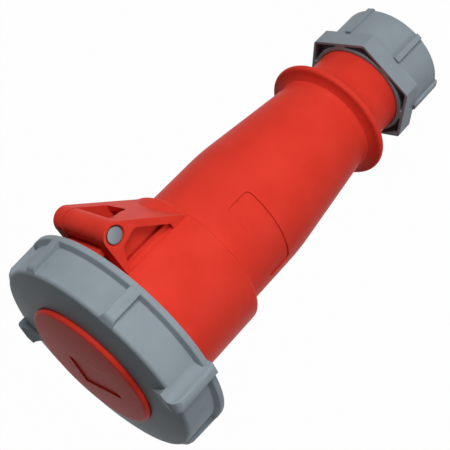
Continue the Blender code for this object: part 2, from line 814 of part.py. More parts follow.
nut_body_top = nut_top - nut_hex_height + 1.0 * mm
nut = turned("gland_nut", [
    (nut_radius, nut_body_top),
    (nut_radius, 1.0 * mm),
    (nut_radius - 1.0 * mm, 0.0),
    (nut_entry_radius + 1.0 * mm, 0.0),
    (nut_entry_radius, 1.0 * mm),
    (nut_entry_radius, nut_body_top),
], parts, grey)
hex_corner = nut_across_flats / 2 / math.cos(math.radians(30.0))
hex_turn = 30.0
hexagon = cylinder("nut_hexagon", hex_corner, nut_top - nut_hex_height, nut_top, steps=6)
hexagon.rotation_euler = (0.0, 0.0, math.radians(hex_turn))
join(nut, hexagon)
pocket = cylinder("nut_pockets", hex_corner - nut_skirt / math.cos(math.radians(30.0)),
                  nut_top - nut_pocket_depth, nut_top + mm, steps=6)
pocket.rotation_euler = (0.0, 0.0, math.radians(hex_turn))
cut(pocket, cylinder("nut_sleeve", nut_bore + nut_sleeve_wall, nut_top - nut_pocket_depth - mm,
                     nut_top + 2 * mm, steps=segments))
for index in range(6):
    web = box("nut_web", (nut_bore, -nut_web_width / 2, nut_top - nut_pocket_depth - mm),
              (hex_corner, nut_web_width / 2, nut_top + 2 * mm), hex_turn + 60.0 * index)
    cut(pocket, web)
for index in range(6):
    outline = [
        (nut_radius - 1.5 * mm, nut_body_top),
        (nut_radius - 1.5 * mm, 0.0),
        (nut_radius + nut_rib_height - 1.0 * mm, 0.0),
        (nut_radius + nut_rib_height, 1.0 * mm),
        (nut_radius + nut_rib_height, nut_body_top),
    ]
    join(nut, radial_prism("nut_rib", outline, nut_rib_width, hex_turn + 60.0 * index))
cut(nut, cylinder("nut_bore", nut_bore, nut_end_wall, nut_top + mm, steps=segments))
cut(nut, pocket)
carry(nut, gland)

# Round pieces are shaded smooth
bpy.context.view_layer.update()
for piece in parts.objects:
    if piece.type == "MESH":
        piece.data.shade_smooth()
        piece.data.set_sharp_from_angle(angle=math.radians(35.0))
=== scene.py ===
import math

import bmesh
import bpy
from mathutils import Matrix, Quaternion, Vector


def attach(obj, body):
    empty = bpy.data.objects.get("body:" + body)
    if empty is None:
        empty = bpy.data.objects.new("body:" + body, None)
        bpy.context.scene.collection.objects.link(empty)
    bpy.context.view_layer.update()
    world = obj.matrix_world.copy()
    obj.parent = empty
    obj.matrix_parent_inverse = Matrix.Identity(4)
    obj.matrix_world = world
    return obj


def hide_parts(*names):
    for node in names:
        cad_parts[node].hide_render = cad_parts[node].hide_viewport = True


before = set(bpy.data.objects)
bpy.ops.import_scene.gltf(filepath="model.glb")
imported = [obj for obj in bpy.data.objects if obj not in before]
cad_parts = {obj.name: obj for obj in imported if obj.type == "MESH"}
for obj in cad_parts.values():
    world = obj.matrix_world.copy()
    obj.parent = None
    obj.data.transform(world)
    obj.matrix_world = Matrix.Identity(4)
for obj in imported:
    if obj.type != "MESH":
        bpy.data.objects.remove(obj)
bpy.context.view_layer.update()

mm = 0.001
spare = 1.0         # mm that a cutting tool stands clear of what it cuts
spinGap = 0.005     # mm within which a spun piece's corners become one
weldGap = 0.002     # the same for a finished piece
sharpAngle = 32.0   # degrees above which an edge stays crisp


# sRGB hex to linear RGBA
def linearColour(hexCode):
    levels = [int(hexCode[i:i + 2], 16) / 255 for i in (1, 3, 5)]
    linear = [v / 12.92 if v <= 0.04045 else ((v + 0.055) / 1.055) ** 2.4 for v in levels]
    return (*linear, 1.0)


def addNode(tree, kind, values=None, links=None, **settings):
    node = tree.nodes.new(kind)
    for key, value in settings.items():
        setattr(node, key, value)
    for key, value in (values or {}).items():
        node.inputs[key].default_value = value
    for key, socket in (links or {}).items():
        tree.links.new(socket, node.inputs[key])
    return node


def newPiece(name, bm):
    mesh = bpy.data.meshes.new(name)
    bm.to_mesh(mesh)
    bm.free()
    piece = bpy.data.objects.new(name, mesh)
    bpy.context.scene.collection.objects.link(piece)
    return piece


# rounds corners (VERTICES) or edges (EDGES) by a size in mm
def soften(bm, geom, size, steps, affect):
    bmesh.ops.bevel(bm, geom=geom, offset=size * mm, offset_type="OFFSET", segments=steps,
                    profile=0.5, affect=affect, clamp_overlap=True, material=-1)


# a corner of an outline may carry a third value, its rounding in mm
def roundCorners(bm, verts, corners, steps):
    for vert, corner in zip(verts, corners):
        if len(corner) > 2:
            soften(bm, [vert], corner[2], steps, "VERTICES")


# a closed section of (radius, height) or (radius, height, rounding) in mm, spun about Z
def turnedPiece(name, corners, steps=192, roundSteps=4):
    bm = bmesh.new()
    verts = [bm.verts.new((corner[0] * mm, 0, corner[1] * mm)) for corner in corners]
    for vert, following in zip(verts, verts[1:] + verts[:1]):
        if vert.co.x > 0 or following.co.x > 0:   # no edge lies along the axis
            bm.edges.new((vert, following))
    roundCorners(bm, verts, corners, roundSteps)
    section = bm.verts[:] + bm.edges[:]
    bmesh.ops.spin(bm, geom=section, cent=(0, 0, 0), axis=(0, 0, 1), angle=math.tau,
                   steps=steps, use_merge=True)
    bmesh.ops.remove_doubles(bm, verts=bm.verts, dist=spinGap * mm)
    bmesh.ops.recalc_face_normals(bm, faces=bm.faces)
    return newPiece(name, bm)


# an outline of (x, y) or (x, y, rounding) in mm in its own XY plane, thickened along its Z
# and then placed
def flatPiece(name, corners, place, depth, roundSteps=5):
    bm = bmesh.new()
    verts = [bm.verts.new((corner[0] * mm, corner[1] * mm, 0)) for corner in corners]
    bm.faces.new(verts)
    roundCorners(bm, verts, corners, roundSteps)
    grown = bmesh.ops.extrude_face_region(bm, geom=bm.faces[:])
    raised = [g for g in grown["geom"] if isinstance(g, bmesh.types.BMVert)]
    bmesh.ops.translate(bm, vec=(0, 0, depth * mm), verts=raised)
    bmesh.ops.transform(bm, matrix=place, verts=bm.verts)
    bmesh.ops.recalc_face_normals(bm, faces=bm.faces)
    return newPiece(name, bm)


def rodPiece(name, radius, length, place, sides=64, endRound=0.0, roundSteps=4):
    bm = bmesh.new()
    bmesh.ops.create_cone(bm, cap_ends=True, segments=sides, radius1=radius * mm,
                          radius2=radius * mm, depth=length * mm)
    if endRound > 0:
        rims = [e for e in bm.edges if abs(e.verts[0].co.z - e.verts[1].co.z) < weldGap * mm]
        soften(bm, rims, endRound, roundSteps, "EDGES")
    bmesh.ops.transform(bm, matrix=place, verts=bm.verts)
    return newPiece(name, bm)


# a block between two corners in mm, turned about Z
def blockPiece(name, lowest, highest, turn=0.0):
    bm = bmesh.new()
    bmesh.ops.create_cube(bm, size=1.0)
    lowest, highest = Vector(lowest) * mm, Vector(highest) * mm
    bmesh.ops.scale(bm, vec=highest - lowest, verts=bm.verts)
    bmesh.ops.translate(bm, vec=(highest + lowest) / 2, verts=bm.verts)
    bmesh.ops.rotate(bm, cent=(0, 0, 0), matrix=Matrix.Rotation(math.radians(turn), 3, "Z"),
                     verts=bm.verts)
    return newPiece(name, bm)


# an exact Boolean that uses up its tool
def combine(target, tool, operation):
    step = target.modifiers.new("step", "BOOLEAN")
    step.operation, step.solver, step.object = operation, "EXACT", tool
    bpy.context.view_layer.update()
    finished = target.evaluated_get(bpy.context.evaluated_depsgraph_get())
    made = bpy.data.meshes.new_from_object(finished)
    target.modifiers.clear()
    target.data = made
    bpy.data.objects.remove(tool, do_unlink=True)
    return target


def join(target, tool):
    return combine(target, tool, "UNION")


def cut(target, tool):
    return combine(target, tool, "DIFFERENCE")


def meet(target, tool):
    return combine(target, tool, "INTERSECT")


def raisedTo(height):
    return Matrix.Translation((0, 0, height * mm))


def turnedAbout(turn):
    return Matrix.Rotation(math.radians(turn), 4, "Z")


# lays a rod's own Z along world X
def acrossX(y, height, x=0.0):
    return Matrix.Translation((x * mm, y * mm, height * mm)) @ Matrix.Rotation(math.pi / 2, 4, "Y")


def arcPoints(centre, radius, start, end, count):
    angles = [math.radians(start + (end - start) * i / count) for i in range(count + 1)]
    return [(centre[0] + radius * math.cos(a), centre[1] + radius * math.sin(a)) for a in angles]


def sectorPiece(name, inner, outer, low, high, middle, spread, steps=24):
    ahead = arcPoints((0, 0), outer, middle - spread / 2, middle + spread / 2, steps)
    back = arcPoints((0, 0), inner, middle + spread / 2, middle - spread / 2, steps)
    return flatPiece(name, ahead + back, raisedTo(low), high - low)


# a (y, height) outline thickened along X from inner to outer, then turned about Z
def facingPiece(name, corners, inner, outer, turn=0.0):
    place = Matrix(((0, 0, 1, inner * mm), (1, 0, 0, 0), (0, 1, 0, 0), (0, 0, 0, 1)))
    return flatPiece(name, corners, turnedAbout(turn) @ place, outer - inner)


# a (radius, height) outline as a rib of a width at an angle about Z
def ribPiece(name, corners, width, turn):
    place = Matrix(((1, 0, 0, 0), (0, 0, -1, width * mm / 2), (0, 1, 0, 0), (0, 0, 0, 1)))
    return flatPiece(name, corners, turnedAbout(turn) @ place, width)


# finish, shading, and the piece's place in the moving tree
def dress(piece, body, material, slot, *nodes):
    piece.data.materials.clear()
    piece.data.materials.append(material)
    bm = bmesh.new()
    bm.from_mesh(piece.data)
    bmesh.ops.remove_doubles(bm, verts=bm.verts, dist=weldGap * mm)
    bm.to_mesh(piece.data)
    bm.free()
    piece.data.shade_smooth()
    piece.data.set_sharp_from_angle(angle=math.radians(sharpAngle))
    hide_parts(*nodes)
    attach(piece, body)


# Moulded plastic: an even colour with faint flow patches, a low sheen and a fine grain.
# The mould's spark-eroded grain is about 0.05 mm and is drawn ten times coarser so that it shows.
plasticLook = {
    "ior": 1.53, "gloss": 0.035,                            # matt enough not to wash out in white
    "patch": 16.67, "patchFrom": 0.35, "patchTo": 0.65,     # patch size in mm, then its contrast
    "grainFrom": 0.3, "grainTo": 0.7, "smoother": 0.04, "rougher": 0.05,
    "bump": 0.3, "edgeSamples": 6,
}


# grain, relief and edge are in mm
def mouldedPlastic(name, base, deep, roughness, grain, relief, edge):
    look = plasticLook
    material = bpy.data.materials.new(name)
    material.use_nodes = True
    tree = material.node_tree
    shader = tree.nodes["Principled BSDF"]
    shader.inputs["IOR"].default_value = look["ior"]
    shader.inputs["Specular IOR Level"].default_value = look["gloss"]
    place = addNode(tree, "ShaderNodeTexCoord").outputs["Object"]
    flow = addNode(tree, "ShaderNodeTexNoise",
                   {"Scale": 1.0 / (look["patch"] * mm), "Detail": 3.0}, {"Vector": place})
    ramp = addNode(tree, "ShaderNodeValToRGB", None, {"Fac": flow.outputs["Fac"]})
    first, last = ramp.color_ramp.elements
    first.position, first.color = look["patchFrom"], linearColour(deep)
    last.position, last.color = look["patchTo"], linearColour(base)
    tree.links.new(ramp.outputs["Color"], shader.inputs["Base Color"])
    fine = addNode(tree, "ShaderNodeTexNoise",
                   {"Scale": 1.0 / (grain * mm), "Detail": 2.0}, {"Vector": place})
    sheen = addNode(tree, "ShaderNodeMapRange",
                    {"From Min": look["grainFrom"], "From Max": look["grainTo"],
                     "To Min": roughness - look["smoother"], "To Max": roughness + look["rougher"]},
                    {"Value": fine.outputs["Fac"]})
    tree.links.new(sheen.outputs["Result"], shader.inputs["Roughness"])
    edgeRound = addNode(tree, "ShaderNodeBevel", {"Radius": edge * mm}, None,
                        samples=look["edgeSamples"])
    bump = addNode(tree, "ShaderNodeBump", {"Strength": look["bump"], "Distance": relief * mm},
                   {"Height": fine.outputs["Fac"], "Normal": edgeRound.outputs["Normal"]})
    tree.links.new(bump.outputs["Normal"], shader.inputs["Normal"])
    return material


# Turned or plated metal: cloudy colour, fine turning lines and a little unevenness in the gloss
metalLook = {
    "cloud": 8.333, "cloudFrom": 0.3, "cloudTo": 0.7,       # cloud size in mm, then its contrast
    "smoother": 0.06, "rougher": 0.08, "bump": 0.2, "relief": 0.02, "edge": 0.25, "edgeSamples": 4,
}


# lineSpacing is the space between turning lines in mm
def turnedMetal(name, base, dull, roughness, lineSpacing):
    look = metalLook
    material = bpy.data.materials.new(name)
    material.use_nodes = True
    tree = material.node_tree
    shader = tree.nodes["Principled BSDF"]
    shader.inputs["Metallic"].default_value = 1.0
    place = addNode(tree, "ShaderNodeTexCoord").outputs["Object"]
    cloud = addNode(tree, "ShaderNodeTexNoise",
                    {"Scale": 1.0 / (look["cloud"] * mm), "Detail": 4.0}, {"Vector": place})
    ramp = addNode(tree, "ShaderNodeValToRGB", None, {"Fac": cloud.outputs["Fac"]})
    first, last = ramp.color_ramp.elements
    first.position, first.color = look["cloudFrom"], linearColour(dull)
    last.position, last.color = look["cloudTo"], linearColour(base)
    tree.links.new(ramp.outputs["Color"], shader.inputs["Base Color"])
    sheen = addNode(tree, "ShaderNodeMapRange",
                    {"To Min": roughness - look["smoother"], "To Max": roughness + look["rougher"]},
                    {"Value": cloud.outputs["Fac"]})
    tree.links.new(sheen.outputs["Result"], shader.inputs["Roughness"])
    lines = addNode(tree, "ShaderNodeTexNoise",
                    {"Scale": 1.0 / (lineSpacing * mm), "Detail": 1.0}, {"Vector": place})
    edgeRound = addNode(tree, "ShaderNodeBevel", {"Radius": look["edge"] * mm}, None,
                        samples=look["edgeSamples"])
    bump = addNode(tree, "ShaderNodeBump",
                   {"Strength": look["bump"], "Distance": look["relief"] * mm},
                   {"Height": lines.outputs["Fac"], "Normal": edgeRound.outputs["Normal"]})
    tree.links.new(bump.outputs["Normal"], shader.inputs["Normal"])
    return material


# Injection-moulded polyamide: signal red with soft edges and a satin sheen
redPlastic = mouldedPlastic("redPolyamide", "#D63A2C", "#D03527", 0.42, 0.5, 0.02, 0.5)
# The same plastic in a cool blue-grey
greyPlastic = mouldedPlastic("greyPolyamide", "#8A959C", "#858F96", 0.42, 0.5, 0.02, 0.5)
# Glass-filled polyamide: near black, a little duller, with tighter edges
darkPlastic = mouldedPlastic("insertPolyamide", "#3A3E42", "#35393D", 0.45, 0.5, 0.02, 0.3)
# Compression-moulded nitrile rubber: black and matt
sealRubber = mouldedPlastic("sealRubber", "#1B1C1D", "#161718", 0.62, 0.4, 0.03, 0.3)
# Turned brass: warm yellow with fine lines
contactBrass = turnedMetal("machinedBrass", "#C9A86A", "#B69659", 0.30, 0.15)
# Steel with a zinc plating: mid grey, soft and cloudy
platedSteel = turnedMetal("zincPlatedSteel", "#737A7F", "#6B7277", 0.50, 0.2)
print("materials ready")


# Rear housing: neck, rim, tapered grip and barrel. Lengths are in mm and turns in degrees,
# here and below
rear = {
    "spigot": 37.25, "spigotTop": 180.2, "spigotRound": 0.4, "lipTop": 169.9, "lipRound": 0.3,
    "barrel": 34.75, "shoulder": 125.2, "shoulderRound": 6.5,
    # bead, rim and the fillet under it, from the grip down: radius, height, rounding
    "rimSection": [(27.92, 64.0, 0.8), (28.2, 62.8, 0.5), (28.2, 61.4, 0.4), (31.9, 59.8, 1.6),
                   (34.7, 59.5, 1.3), (35.0, 56.1, 1.7), (30.6, 55.0, 2.2), (25.0, 49.2, 5.5)],
    "neckRadius": 25.0, "neckEnd": 14.0, "neckRound": 1.0,
    "neckBore": 20.5, "boreRound": 0.3, "sealSeat": 30.3, "throat": 19.0,
    "throatEnd": 55.2, "throatRound": 2.0, "gripBore": 24.5, "gripBoreFoot": 63.8,
    "gripBoreRound": 3.0, "barrelBore": 31.75, "barrelBoreRound": 5.0,
    "labelLow": 136.6, "labelHigh": 151.6, "labelFrom": -30.0, "labelTo": 45.5,
    "labelDepth": 0.6, "labelRound": 2.4, "labelCutStart": 20.0,
}
rearPiece = turnedPiece("rearHousing", [
    (rear["spigot"], rear["spigotTop"], rear["spigotRound"]),
    (rear["spigot"], rear["lipTop"], rear["lipRound"]), (rear["barrel"], rear["lipTop"]),
    (rear["barrel"], rear["shoulder"], rear["shoulderRound"]), *rear["rimSection"],
    (rear["neckRadius"], rear["neckEnd"], rear["neckRound"]),
    (rear["neckBore"], rear["neckEnd"], rear["boreRound"]), (rear["neckBore"], rear["sealSeat"]),
    (rear["throat"], rear["sealSeat"]), (rear["throat"], rear["throatEnd"], rear["throatRound"]),
    (rear["gripBore"], rear["gripBoreFoot"], rear["gripBoreRound"]),
    (rear["barrelBore"], rear["shoulder"], rear["barrelBoreRound"]),
    (rear["barrelBore"], rear["spigotTop"], rear["boreRound"]),
])
labelTurn = (rear["labelFrom"] + rear["labelTo"]) / 2
labelSpread = rear["labelTo"] - rear["labelFrom"]
labelHalf = rear["barrel"] * math.sin(math.radians(labelSpread / 2))
labelRecess = facingPiece("labelRecess", [
    (-labelHalf, rear["labelLow"], rear["labelRound"]),
    (labelHalf, rear["labelLow"], rear["labelRound"]),
    (labelHalf, rear["labelHigh"], rear["labelRound"]),
    (-labelHalf, rear["labelHigh"], rear["labelRound"]),
], rear["labelCutStart"], rear["barrel"] + 3 * spare, labelTurn)
# only what lies outside the recess's own curved floor is cut
labelOuter, labelFloor = rear["barrel"] + 5 * spare, rear["barrel"] - rear["labelDepth"]
labelAbove, labelBelow = rear["labelHigh"] + spare, rear["labelLow"] - spare
meet(labelRecess, turnedPiece("labelFloor", [
    (labelOuter, labelAbove), (labelOuter, labelBelow),
    (labelFloor, labelBelow), (labelFloor, labelAbove),
]))
cut(rearPiece, labelRecess)
dress(rearPiece, "housing", redPlastic, "red_plastic", "rear_housing")
print("rear housing ready")


# Front housing: body, bayonet collar with two lugs, and the bores for insert and spigot
front = {
    "radius": 40.1, "seam": 166.6, "seamRound": 1.6, "mouth": 227.9, "mouthRound": 1.0,
    "collarRadius": 46.0, "collarBase": 215.5, "collarRound": 1.5, "flareEnd": 210.7,
    "flareRound": 3.0, "collarBore": 41.0, "collarFloor": 212.2, "taperEnd": 208.2,
    "mouthRadius": 36.6, "ledge": 188.2, "spigotBore": 37.6, "lipBore": 35.1, "lipTop": 169.6,
    "lugs": (0.0, 180.0), "lugRadius": 51.3, "lugTop": 224.7, "lugHeight": 4.0,
    "lugSpread": 24.0, "lugSink": 1.5, "keyWidth": 9.0, "keyDepth": 2.2, "keyStart": 190.2,
}
# Hinge bracket on it: two cheeks round the pin, and the sloping plate between them
hinge = {
    "reach": 54.9, "height": 203.4, "boss": 6.4, "bossSteps": 48,
    "pin": 4.15, "clearance": 0.35, "pinSink": 0.3, "pinRound": 0.4,
    "sinkRadius": 4.9, "sinkDepth": 0.7, "earOutside": 19.3, "earThickness": 7.0,
    "front": 4.4, "rootSink": 3.0, "tipSink": 0.3, "plate": 2.8, "floor": 0.6,
    "knuckle": 6.2, "knuckleRoom": 1.2, "gap": 0.4, "knuckleSides": 96,
    # the plate's notch starts at one cheek: across, how far behind the knuckle's room, rounding
    "notchStart": 10.5, "notchRound": 0.8,
    "notch": [(-1.0, 12.8, 0.8), (3.5, 7.0, 0.8), (10.0, 1.0, 0.5)],
    "notchFloor": 0.5, "notchReach": 30.0,
    "pocket": 5.0, "pocketSink": 1.6, "strut": 3.6, "frontStrut": 5.0, "bossWall": 0.6,
    "pocketLip": 1.2, "pocketCorner": 1.2, "waistDrop": 3.2, "waistRound": 0.8,
    "kneeDrop": 9.6, "kneeRound": 1.5,
    "railLow": 175.0, "railHigh": 205.5, "railIn": 15.4, "railOut": 16.5,
    "railTop": 38.5, "railSink": 8.0,
}
frontPiece = turnedPiece("frontHousing", [
    (0.0, front["mouth"]), (front["collarRadius"], front["mouth"], front["mouthRound"]),
    (front["collarRadius"], front["collarBase"], front["collarRound"]),
    (front["radius"], front["flareEnd"], front["flareRound"]),
    (front["radius"], front["seam"], front["seamRound"]), (0.0, front["seam"]),
])
# the cheek's far tip, where the ear's outer face runs into the barrel beside the seam
tip = Vector((math.sqrt(front["radius"] ** 2 - hinge["earOutside"] ** 2) - hinge["tipSink"],
              front["seam"] + hinge["tipSink"]))
boss = Vector((hinge["reach"], hinge["height"]))


# where a line from the point touches the boss, in degrees
def touchAngle(point, side):
    away = Vector(point) - boss
    return math.degrees(math.atan2(away.y, away.x) + side * math.acos(hinge["boss"] / away.length))


root = tip.x - hinge["rootSink"]
cheekFront = hinge["height"] + hinge["front"]
lowTouch, highTouch = touchAngle(tip, 1), touchAngle((root, cheekFront), -1)
if highTouch < lowTouch:
    highTouch += 360.0
cheek = arcPoints(boss, hinge["boss"], lowTouch, highTouch, hinge["bossSteps"])
cheek += [(root, cheekFront), (root, front["seam"] + front["seamRound"]), tuple(tip)]
bracket = facingPiece("bracket", cheek, -hinge["earOutside"], hinge["earOutside"])
touch = Vector(cheek[0])
slope = (tip - touch).normalized()
inward = Vector((slope.y, -slope.x))


# lines that start at a point and run along the plate: y at a height, and height at a y
def slopeY(start, height):
    return start.x + slope.x * (height - start.y) / slope.y


def slopeHeight(start, y):
    return start.y + slope.y * (y - start.x) / slope.x


cheekInside = hinge["earOutside"] - hinge["earThickness"]
behind = hinge["height"] - hinge["knuckle"] - hinge["knuckleRoom"]
plateInside = touch + inward * hinge["plate"]
floorY = front["radius"] + hinge["floor"]
beyond = hinge["reach"] + 2 * hinge["boss"]
cut(bracket, facingPiece("bracketSpace", [
    (floorY, cheekFront + 3 * spare), (beyond, cheekFront + 3 * spare), (beyond, behind),
    (slopeY(plateInside, behind), behind), (floorY, slopeHeight(plateInside, floorY)),
], -cheekInside, cheekInside))
notch = [(-cheekInside, behind + spare),
         (-cheekInside, behind - hinge["notchStart"], hinge["notchRound"])]
notch += [(across, behind - drop, rounding) for across, drop, rounding in hinge["notch"]]
notch.append((notch[-1][0], behind + spare))
notchY = floorY + hinge["notchFloor"]
notchPlace = Matrix(((1, 0, 0, 0), (0, 0, 1, notchY * mm), (0, 1, 0, 0), (0, 0, 0, 1)))
cut(bracket, flatPiece("plateNotch", notch, notchPlace, hinge["notchReach"]))
# a triangular pocket in the outside of each cheek, between the boss, the front and the plate
pocketInside = touch + inward * hinge["strut"]
pocketFloor = front["radius"] - hinge["pocketSink"]
pocketEnd = slopeHeight(pocketInside, pocketFloor)
waistY = hinge["reach"] - hinge["boss"]
waist, knee = hinge["height"] - hinge["waistDrop"], hinge["height"] - hinge["kneeDrop"]
pocket = [
    (pocketFloor - 3 * spare, cheekFront - hinge["pocketLip"]),
    (waistY - hinge["bossWall"], cheekFront - hinge["frontStrut"], hinge["pocketCorner"]),
    (waistY, waist, hinge["waistRound"]), (slopeY(pocketInside, knee), knee, hinge["kneeRound"]),
    (pocketFloor, pocketEnd), (pocketFloor - 3 * spare, pocketEnd),
]
for start in (-hinge["earOutside"] - spare, hinge["earOutside"] - hinge["pocket"]):
    cut(bracket, facingPiece("cheekPocket", pocket, start, start + hinge["pocket"] + spare))
join(frontPiece, bracket)
for side in (-1, 1):
    nearX, farX = sorted((side * hinge["railIn"], side * hinge["railOut"]))
    join(frontPiece, blockPiece("cheekRail",
                                (nearX, front["radius"] - hinge["railSink"], hinge["railLow"]),
                                (farX, hinge["railTop"], hinge["railHigh"])))
for turn in front["lugs"]:
    join(frontPiece, sectorPiece("lug", front["collarRadius"] - front["lugSink"],
                                 front["lugRadius"], front["lugTop"] - front["lugHeight"],
                                 front["lugTop"], turn, front["lugSpread"]))
cut(frontPiece, turnedPiece("frontBore", [
    (front["collarBore"], front["mouth"] + spare), (front["collarBore"], front["collarFloor"]),
    (front["mouthRadius"], front["taperEnd"]), (front["mouthRadius"], front["ledge"]),
    (front["spigotBore"], front["ledge"]), (front["spigotBore"], front["lipTop"]),
    (front["lipBore"], front["lipTop"]), (front["lipBore"], front["seam"] - spare),
    (0.0, front["seam"] - spare), (0.0, front["mouth"] + spare),
]))
keyHalf, keyY = front["keyWidth"] / 2, -front["mouthRadius"]
cut(frontPiece, blockPiece("keyway", (-keyHalf, keyY - front["keyDepth"], front["keyStart"]),
                           (keyHalf, keyY + 2 * spare, front["mouth"] + spare)))
pinBore = hinge["pin"] + hinge["clearance"]
cut(frontPiece, rodPiece("earBore", pinBore, 2 * (hinge["earOutside"] + spare), acrossX(*boss)))
for side in (-1, 1):
    cut(frontPiece, rodPiece("earSink", hinge["sinkRadius"], 2 * hinge["sinkDepth"],
                             acrossX(*boss, side * hinge["earOutside"])))
dress(frontPiece, "housing", redPlastic, "red_plastic", "front_housing")

pinPiece = rodPiece("hingePin", hinge["pin"], 2 * (hinge["earOutside"] - hinge["pinSink"]),
                    acrossX(*boss), endRound=hinge["pinRound"])
dress(pinPiece, "housing", platedSteel, "plated_steel", "hinge_pin")
print("front housing ready")


# Lid: disc, flange, arm and knuckle
lid = {
    "disc": 35.3, "top": 241.2, "base": 238.7, "discRound": 2.0, "edgeRound": 0.4, "hub": 34.76,
    "flange": 46.0, "flangeLow": 230.6, "flangeHigh": 233.1, "flangeRound": 0.5,
    "shell": 3.0, "roofRound": 1.0,
    "armOuter": 50.51, "armInner": 46.5, "armNeck": 3.72, "armChamfer": 2.3, "armRoot": 6.0,
    "armRound": 0.6,
    "labelWidth": 28.0, "labelHeight": 18.0, "labelOffset": 6.0, "labelDepth": 0.8,
}
skirtInside, roof = lid["hub"] - lid["shell"], lid["top"] - lid["shell"]
lidPiece = turnedPiece("lid", [
    (0.0, lid["top"]), (lid["disc"], lid["top"], lid["discRound"]),
    (lid["disc"], lid["base"], lid["edgeRound"]), (lid["hub"], lid["base"]),
    (lid["hub"], lid["flangeHigh"]), (lid["flange"], lid["flangeHigh"], lid["flangeRound"]),
    (lid["flange"], lid["flangeLow"], lid["flangeRound"]),
    (skirtInside, lid["flangeLow"], lid["edgeRound"]), (skirtInside, roof, lid["roofRound"]),
    (0.0, roof),
])
knuckleHalf = cheekInside - hinge["gap"]
armStart = lid["flange"] - lid["armRoot"]
neckHigh, neckLow = hinge["height"] + lid["armNeck"], hinge["height"] - lid["armNeck"]
join(lidPiece, facingPiece("lidArm", [
    (armStart, lid["flangeHigh"]),
    (lid["armOuter"] - lid["armChamfer"], lid["flangeHigh"], lid["armRound"]),
    (lid["armOuter"], lid["flangeHigh"] - lid["armChamfer"], lid["armRound"]),
    (lid["armOuter"], neckHigh), (hinge["reach"], neckHigh), (hinge["reach"], neckLow),
    (lid["armOuter"], neckLow), (lid["armInner"], hinge["height"]),
    (lid["armInner"], lid["flangeLow"]), (armStart, lid["flangeLow"]),
], -knuckleHalf, knuckleHalf))
join(lidPiece, rodPiece("knuckle", hinge["knuckle"], 2 * knuckleHalf, acrossX(*boss),
                        hinge["knuckleSides"]))
cut(lidPiece, rodPiece("knuckleBore", pinBore, 2 * (knuckleHalf + spare), acrossX(*boss)))
labelY = -lid["labelOffset"] - lid["labelHeight"] / 2
cut(lidPiece, blockPiece("lidLabel",
                         (-lid["labelWidth"] / 2, labelY, lid["top"] - lid["labelDepth"]),
                         (lid["labelWidth"] / 2, labelY + lid["labelHeight"], lid["top"] + spare)))
dress(lidPiece, "lid", redPlastic, "red_plastic", "lid")
print("lid ready")


# Bayonet ring: six ribs, two wings, two cams inside
ring = {
    "opening": 35.11, "brow": 238.4, "browRound": 0.4, "panel": 55.6, "front": 236.2,
    "cornerRound": 1.7, "slopeTop": 219.1, "slopeRound": 0.3, "radius": 58.5, "flangeTop": 217.7,
    "flangeRound": 0.5, "rear": 214.7, "rearRound": 0.6, "inner": 52.5, "rimRound": 0.5,
    "face": 233.4, "innerRound": 2.0, "openingRound": 0.3, "steps": 240, "roundSteps": 6,
    "root": 53.5,   # where ribs, wings and cams start inside the wall
    "ribs": (96.5, 46.7, -51.0, -83.5, -133.3, 129.0), "ribBlank": 22.4, "ribHalf": 2.8,
    "ribFoot": 0.9, "footFrom": 3.0, "footTo": 0.6, "footRound": 0.8, "ribFaceStart": 46.6,
    # radius, height, rounding
    "ribSection": [(53.5, 215.7), (58.4, 215.7), (57.6, 234.0, 1.2), (54.4, 236.3, 0.6),
                   (53.5, 235.8)],
    "wings": (-1.0, 179.0), "wingBlank": 36.0, "wingTop": 240.2,
    "wingSection": [(53.5, 215.2), (58.5, 214.1, 1.0), (60.6, 214.1, 0.4), (61.6, 215.3, 0.4),
                    (61.4, 236.0, 1.5), (59.8, 239.0, 1.5), (56.7, 240.2, 1.0), (36.61, 236.4),
                    (36.61, 235.2), (53.5, 234.8)],
    # seen from the lid: radius, across, rounding
    "wingPlan": [(36.11, -0.5), (54.6, -4.1, 1.0), (61.61, -3.7, 1.8), (61.61, 2.1, 1.8),
                 (56.9, 2.5, 2.8), (54.8, 7.3), (50.6, 5.1), (36.11, 0.5)],
    "cams": (45.0, 225.0), "camRadius": 49.0, "camTop": 220.2, "camHeight": 3.8,
    "camSpread": 24.0,
}
ringPiece = turnedPiece("bayonetRing", [
    (ring["opening"], ring["brow"], ring["browRound"]),
    (ring["panel"], ring["front"], ring["cornerRound"]),
    (ring["panel"], ring["slopeTop"], ring["slopeRound"]),
    (ring["radius"], ring["flangeTop"], ring["flangeRound"]),
    (ring["radius"], ring["rear"], ring["rearRound"]),
    (ring["inner"], ring["rear"], ring["rimRound"]),
    (ring["inner"], ring["face"], ring["innerRound"]),
    (ring["opening"], ring["face"], ring["openingRound"]),
], ring["steps"], ring["roundSteps"])
# each rib is cut from a wide blank by its own face, which widens into a foot at the front
footStart, footEnd = ring["front"] - ring["footFrom"], ring["front"] - ring["footTo"]
footHalf = ring["ribHalf"] + ring["ribFoot"]
ribSide = [(ring["ribHalf"], ring["rear"]), (ring["ribHalf"], footStart, ring["footRound"]),
           (footHalf, footEnd), (footHalf, ring["front"] + spare)]
ribFace = ribSide + [(-corner[0], *corner[1:]) for corner in reversed(ribSide)]
for turn in ring["ribs"]:
    rib = ribPiece("rib", ring["ribSection"], ring["ribBlank"], turn)
    meet(rib, facingPiece("ribFace", ribFace, ring["ribFaceStart"], ring["radius"] + spare, turn))
    join(ringPiece, rib)
planLow = ring["rear"] - 2 * spare
for turn in ring["wings"]:
    wing = ribPiece("wing", ring["wingSection"], ring["wingBlank"], turn)
    meet(wing, flatPiece("wingPlan", ring["wingPlan"], turnedAbout(turn) @ raisedTo(planLow),
                         ring["wingTop"] + 2 * spare - planLow))
    join(ringPiece, wing)
